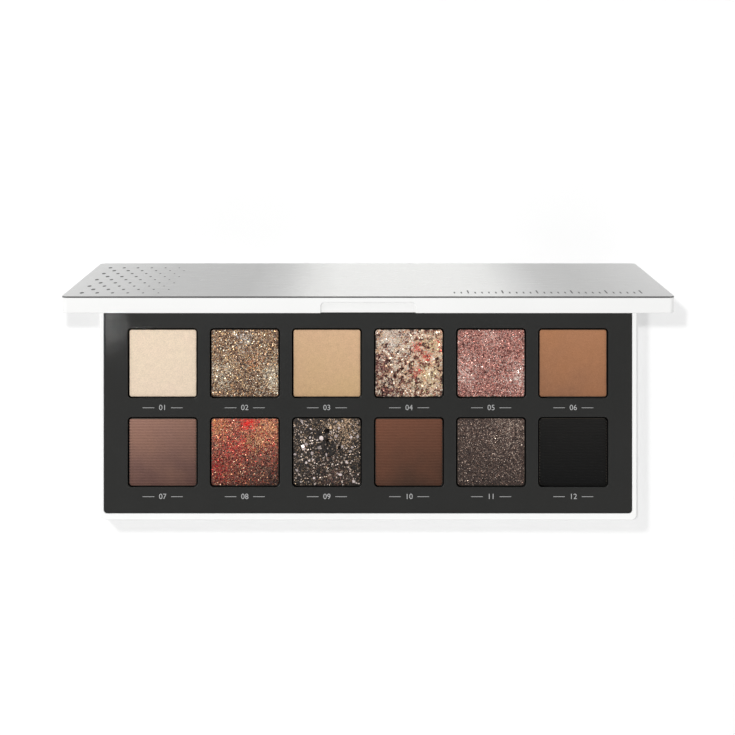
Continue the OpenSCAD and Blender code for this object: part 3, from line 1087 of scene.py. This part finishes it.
labels = []
for number in PANS:
    top = cake_place(number)[0]
    centre = Vector((top.x, top.y - LABEL_AHEAD, deck_high.z + INK_MIDDLE))
    labels.append(numeral(number, centre))
    for way in (-1, 1):
        labels.append(bar(centre + Vector((way * RULE_PLACE, 0, 0)), RULE_LENGTH, RULE_WIDTH))
print_on("deck_numbers", labels, "base", ink("pale ink", "b4b4b4"))

# %% [markdown]
# The marks on the lid are drawn while it lies closed, where the facing is level, and the same
# matrix that opens the lid then carries them along. At the left end they are long dots that
# get smaller from column to column.

# %% The field of dots
FIELD_ROWS = 9
FIELD_COLUMNS = 6
FIELD_STEP = Vector((4.2 * MM, 7.0 * MM, 0))
DOT_WIDTH = (0.35, 0.75)
DOT_LENGTH = (0.9, 2.1)


def pill(centre, width, length):
    """A long dot: a flat disc pulled out along the lid's depth."""
    mesh = bmesh.new()
    place = Matrix.Translation(centre) @ Matrix.Diagonal((width, length, 1, 1))
    bmesh.ops.create_cone(mesh, cap_ends=True, segments=20, radius1=0.5, radius2=0.5,
                          depth=INK, matrix=place)
    bmesh.ops.transform(mesh, matrix=to_rest, verts=mesh.verts)
    data = bpy.data.meshes.new("pill")
    mesh.to_mesh(data)
    mesh.free()
    return data


marks = []
field_corner = Vector((face_low.x + 4.5 * MM, face_low.y + 7 * MM, face_high.z + INK_MIDDLE))
for row in range(FIELD_ROWS):
    for column in range(FIELD_COLUMNS):
        fade = 1 - column / FIELD_COLUMNS
        stagger = 0.5 * FIELD_STEP.x * (row % 2)
        place = field_corner + Vector((column * FIELD_STEP.x + stagger, row * FIELD_STEP.y, 0))
        width = (DOT_WIDTH[0] + DOT_WIDTH[1] * fade) * MM
        length = (DOT_LENGTH[0] + DOT_LENGTH[1] * fade) * MM
        marks.append(pill(place, width, length))
print("dots:", len(marks))

# %% [markdown]
# At the right end there is a row of ticks like those of a ruler, with every fifth one longer.
# Dots and ticks are one print, so they are joined into one piece with one ink.

# %% The row of ticks
TICKS = 28
TICK_STEP = 1.9 * MM
TICK_WIDTH = 0.4 * MM
LONG_TICK = 6.0 * MM
SHORT_TICK = 3.0 * MM

tick_end = Vector((face_high.x - 8 * MM, face_low.y + 6 * MM, face_high.z + INK_MIDDLE))
for tick in range(TICKS):
    length = LONG_TICK if tick % 5 == 0 else SHORT_TICK
    place = tick_end + Vector((-tick * TICK_STEP, length / 2, 0))
    marks.append(bar(place, TICK_WIDTH, length, turn=to_rest))
print_on("lid_marks", marks, "lid", ink("dark ink", "3c3c3b"))

# %% [markdown]
# ## Which lamp reaches which piece
#
# Light linking keeps the lamps apart, as a studio does with flags and separate exposures. The
# open lid would shade the first row of pans, so only the base's own pieces hold the key back.
# The overhead key would wash out the table, so it reaches everything else. The table's two
# lamps reach only the table, where they draw the lid's shadow, and the glint only the deck.

# %% Light linking
def light_group(name, pieces):
    """A collection that a light can be linked to."""
    group = bpy.data.collections.new(name)
    for piece in pieces:
        group.objects.link(piece)
    return group


shade_the_key = light_group("shade the key", (base_piece, deck_piece))
key.light_linking.blocker_collection = shade_the_key
take_the_glint = light_group("take the glint", (deck_piece,))
corner_glint.light_linking.receiver_collection = take_the_glint
only_table = light_group("only the table", (table,))
for lamp in table_keys:
    lamp.light_linking.receiver_collection = only_table
not_table = light_group("all but the table", (table,))
not_table.collection_objects[0].light_linking.link_state = "EXCLUDE"
overhead_key.light_linking.receiver_collection = not_table
